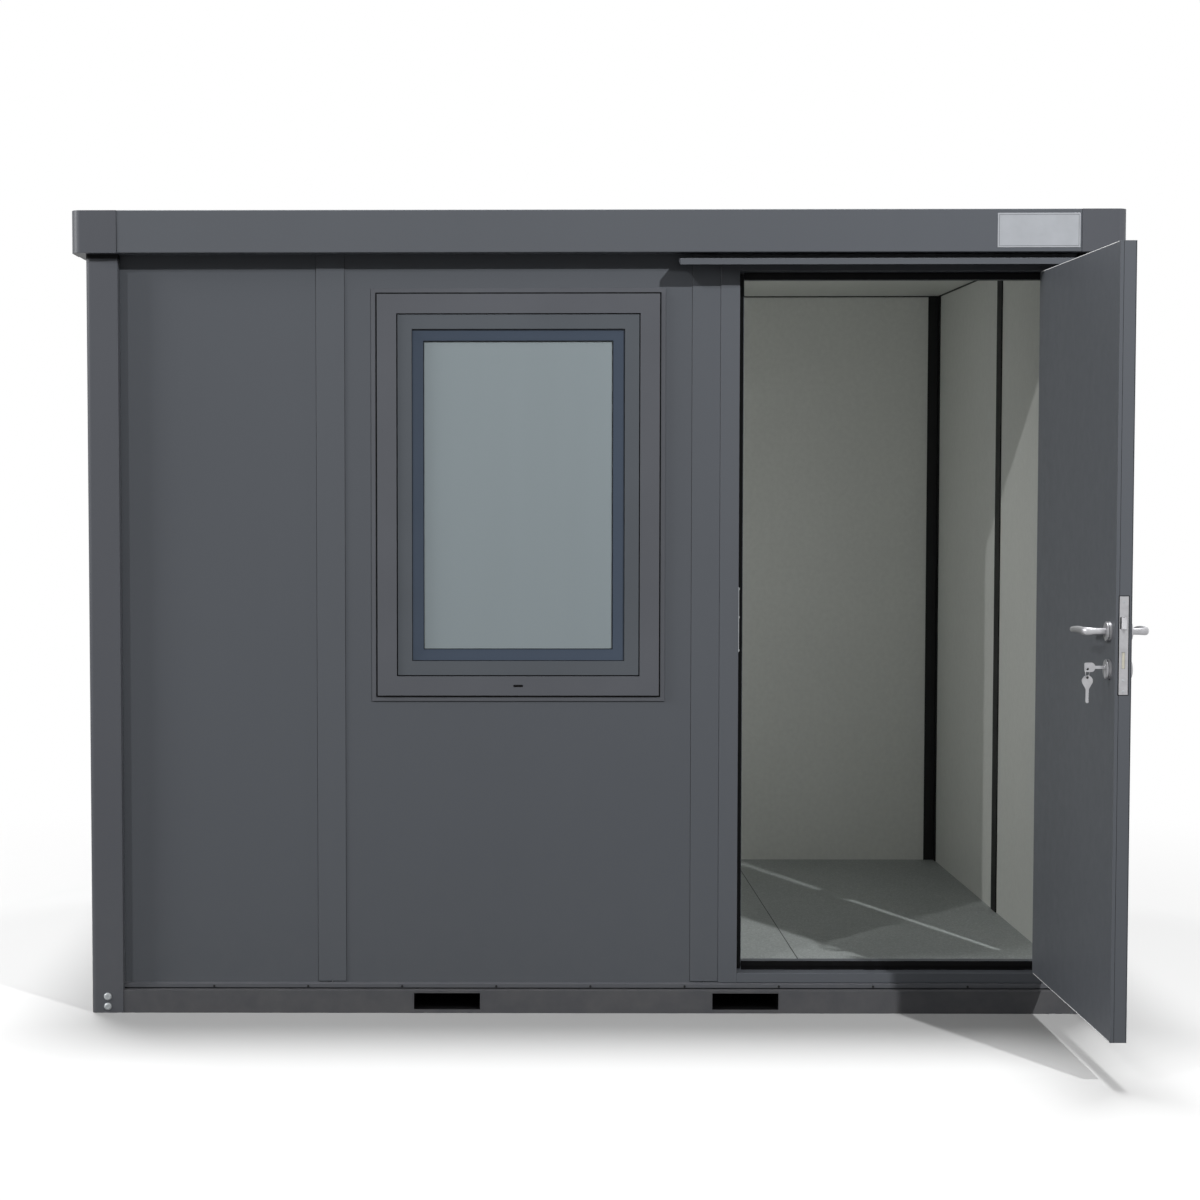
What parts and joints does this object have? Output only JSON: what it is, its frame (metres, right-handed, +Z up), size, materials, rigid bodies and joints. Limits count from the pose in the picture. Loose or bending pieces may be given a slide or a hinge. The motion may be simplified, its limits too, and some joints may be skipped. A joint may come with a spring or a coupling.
{
  "type": "container office",
  "caption": "Small flat-pack container office with a window, an outward-opening door with a lever handle, and fork pockets through its base.",
  "frame": {"origin": "on the ground under the middle of the cabin's roof frame, on the underside of the middle floor joist", "axes": "+X to the right along the front, +Y to the back, +Z up; the front with the window and door faces -Y"},
  "size_m": [3.023, 3.1465, 2.33],
  "materials": {
    "frame_steel": "satin anthracite coating",
    "wall_steel": "satin anthracite coated sheet, pale grey inside",
    "trim_steel": "satin anthracite coating",
    "galvanised_steel": "galvanised",
    "plywood": "sealed plywood",
    "vinyl": "matt grey sheet vinyl",
    "lining": "pale grey coated sheet",
    "window_plastic": "satin anthracite foil",
    "bead": "bluish dark grey",
    "glass": "clear double glazing",
    "rubber": "black sealing rubber",
    "nickel": "satin nickel",
    "label": "blank pale plate"
  },
  "bodies": {
    "cabin": {"corner_posts": "frame_steel", "base_long_rails": "frame_steel", "base_side_rails": "frame_steel", "fork_tunnels": "frame_steel", "floor_joists": "galvanised_steel", "floor_deck": "plywood", "floor_covering": "vinyl", "roof_long_beams": "frame_steel", "roof_side_beams": "frame_steel", "roof_corner_blocks": "frame_steel", "roof_sheet": "galvanised_steel", "ceiling_panel": "lining", "front_panel_left": "wall_steel", "window_panel": "wall_steel", "back_panels": "wall_steel", "left_panels": "wall_steel", "right_panels": "wall_steel", "front_joint_strips": "trim_steel", "back_joint_strips": "trim_steel", "side_joint_strips": "trim_steel", "inner_joint_covers": "trim_steel", "inner_corner_strips": "trim_steel", "sill_trims": "trim_steel", "window_trim": "trim_steel", "window_frame": "window_plastic", "window_sash": "window_plastic", "glazing_bead": "bead", "window_glass": "glass", "door_jamb_lock_side": "trim_steel", "door_jamb_hinge_side": "trim_steel", "door_head": "trim_steel", "door_threshold": "trim_steel", "door_seal": "rubber", "rain_canopy": "trim_steel", "strike_plate": "nickel", "frame_hinges": "trim_steel", "label_plate": "label"},
    "door": {"door_leaf": "wall_steel", "leaf_hinges": "trim_steel", "lock_forend": "nickel", "lock_roses": "nickel", "lock_cylinder": "nickel", "keys": "nickel"},
    "handle": {"lever_handle": "nickel"},
    "latch": {"latch_bolt": "nickel"}
  },
  "joints": [
    {"name": "door_swing", "type": "hinge", "parent": "cabin", "child": "door", "pos_m": [1.3285, -1.084, 1.1365], "axis": [0, 0, 1], "range_deg": [-90, 45]},
    {"name": "lever_turn", "type": "hinge", "parent": "door", "child": "handle", "pos_m": [1.2955, -1.9395, 1.168], "axis": [-1, 0, 0], "range_deg": [0, 40], "stiffness_Nm_per_rad": 2, "springref_deg": -17.19},
    {"name": "latch_slide", "type": "slide", "parent": "door", "child": "latch", "axis": [0, 1, 0], "range_m": [0, 0.012]}
  ],
  "couplings": [
    {"joint": "latch_slide", "follows": "lever_turn", "m_per_rad": 0.01718}
  ]
}
